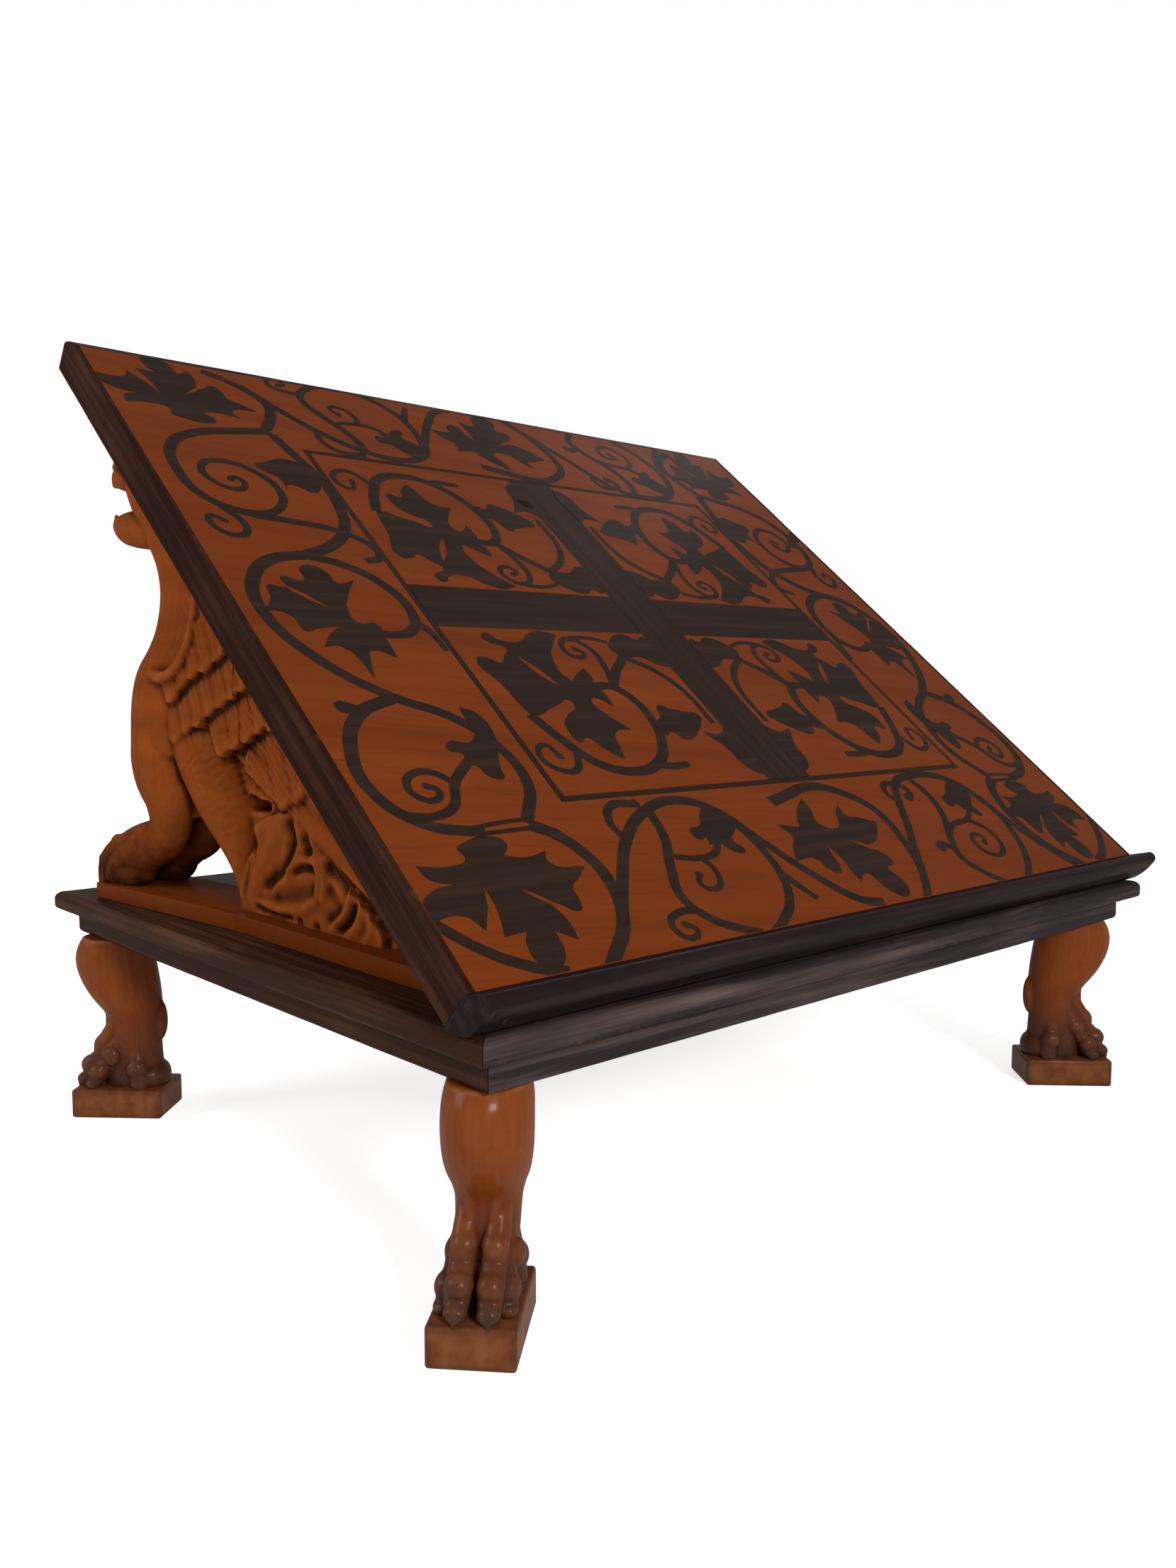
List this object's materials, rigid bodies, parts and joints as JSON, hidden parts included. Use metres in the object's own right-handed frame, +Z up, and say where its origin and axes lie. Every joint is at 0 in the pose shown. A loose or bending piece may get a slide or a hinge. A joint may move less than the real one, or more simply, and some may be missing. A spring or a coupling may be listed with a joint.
{
  "type": "tabletop lectern",
  "caption": "Tabletop lectern: sloping inlaid book board with a ledge, carried by carved griffins on a moulded base with lion-paw legs.",
  "frame": {"origin": "middle of the bounding box, at the underside of the foot plinths", "axes": "+X to the reader's right, -Y towards the reader, +Z up"},
  "size_m": [0.5074, 0.4072, 0.4198],
  "materials": {
    "carved_walnut": "waxed carving with dark patina in the hollows",
    "board_veneer": "satin varnish over fruitwood veneer",
    "ebonised_wood": "ebonised, semi-gloss, worn",
    "inlay_ebony": "satin, flush with the veneer",
    "secondary_wood": "planed, unfinished",
    "screw_steel": "plain steel"
  },
  "bodies": {
    "root": {"frame_front": "ebonised_wood", "frame_right": "ebonised_wood", "frame_back": "ebonised_wood", "frame_left": "ebonised_wood", "apron_front": "ebonised_wood", "apron_right": "ebonised_wood", "apron_back": "ebonised_wood", "apron_left": "ebonised_wood", "base_panel": "secondary_wood", "corner_block_front_left": "secondary_wood", "corner_block_front_right": "secondary_wood", "corner_block_back_left": "secondary_wood", "corner_block_back_right": "secondary_wood", "leg_front_left": "carved_walnut", "leg_front_right": "carved_walnut", "leg_back_left": "carved_walnut", "leg_back_right": "carved_walnut", "griffin_body_left": "carved_walnut", "griffin_wing_left": "carved_walnut", "griffin_body_right": "carved_walnut", "griffin_wing_right": "carved_walnut", "plinth_screw_front_left": "screw_steel", "plinth_screw_front_right": "screw_steel", "plinth_screw_rear_left": "screw_steel", "plinth_screw_rear_right": "screw_steel", "book_board": "board_veneer", "board_lipping_left": "ebonised_wood", "board_lipping_right": "ebonised_wood", "board_lipping_top": "ebonised_wood", "ledge": "ebonised_wood", "ledge_peg_left": "secondary_wood", "ledge_peg_middle": "secondary_wood", "ledge_peg_right": "secondary_wood", "board_dowel_wing_left": "secondary_wood", "board_dowel_body_left": "secondary_wood", "board_dowel_wing_right": "secondary_wood", "board_dowel_body_right": "secondary_wood", "stringing_bottom": "inlay_ebony", "stringing_right": "inlay_ebony", "stringing_top": "inlay_ebony", "stringing_left": "inlay_ebony", "cross_upright": "inlay_ebony", "cross_arm_left": "inlay_ebony", "cross_arm_right": "inlay_ebony"}
  },
  "joints": []
}
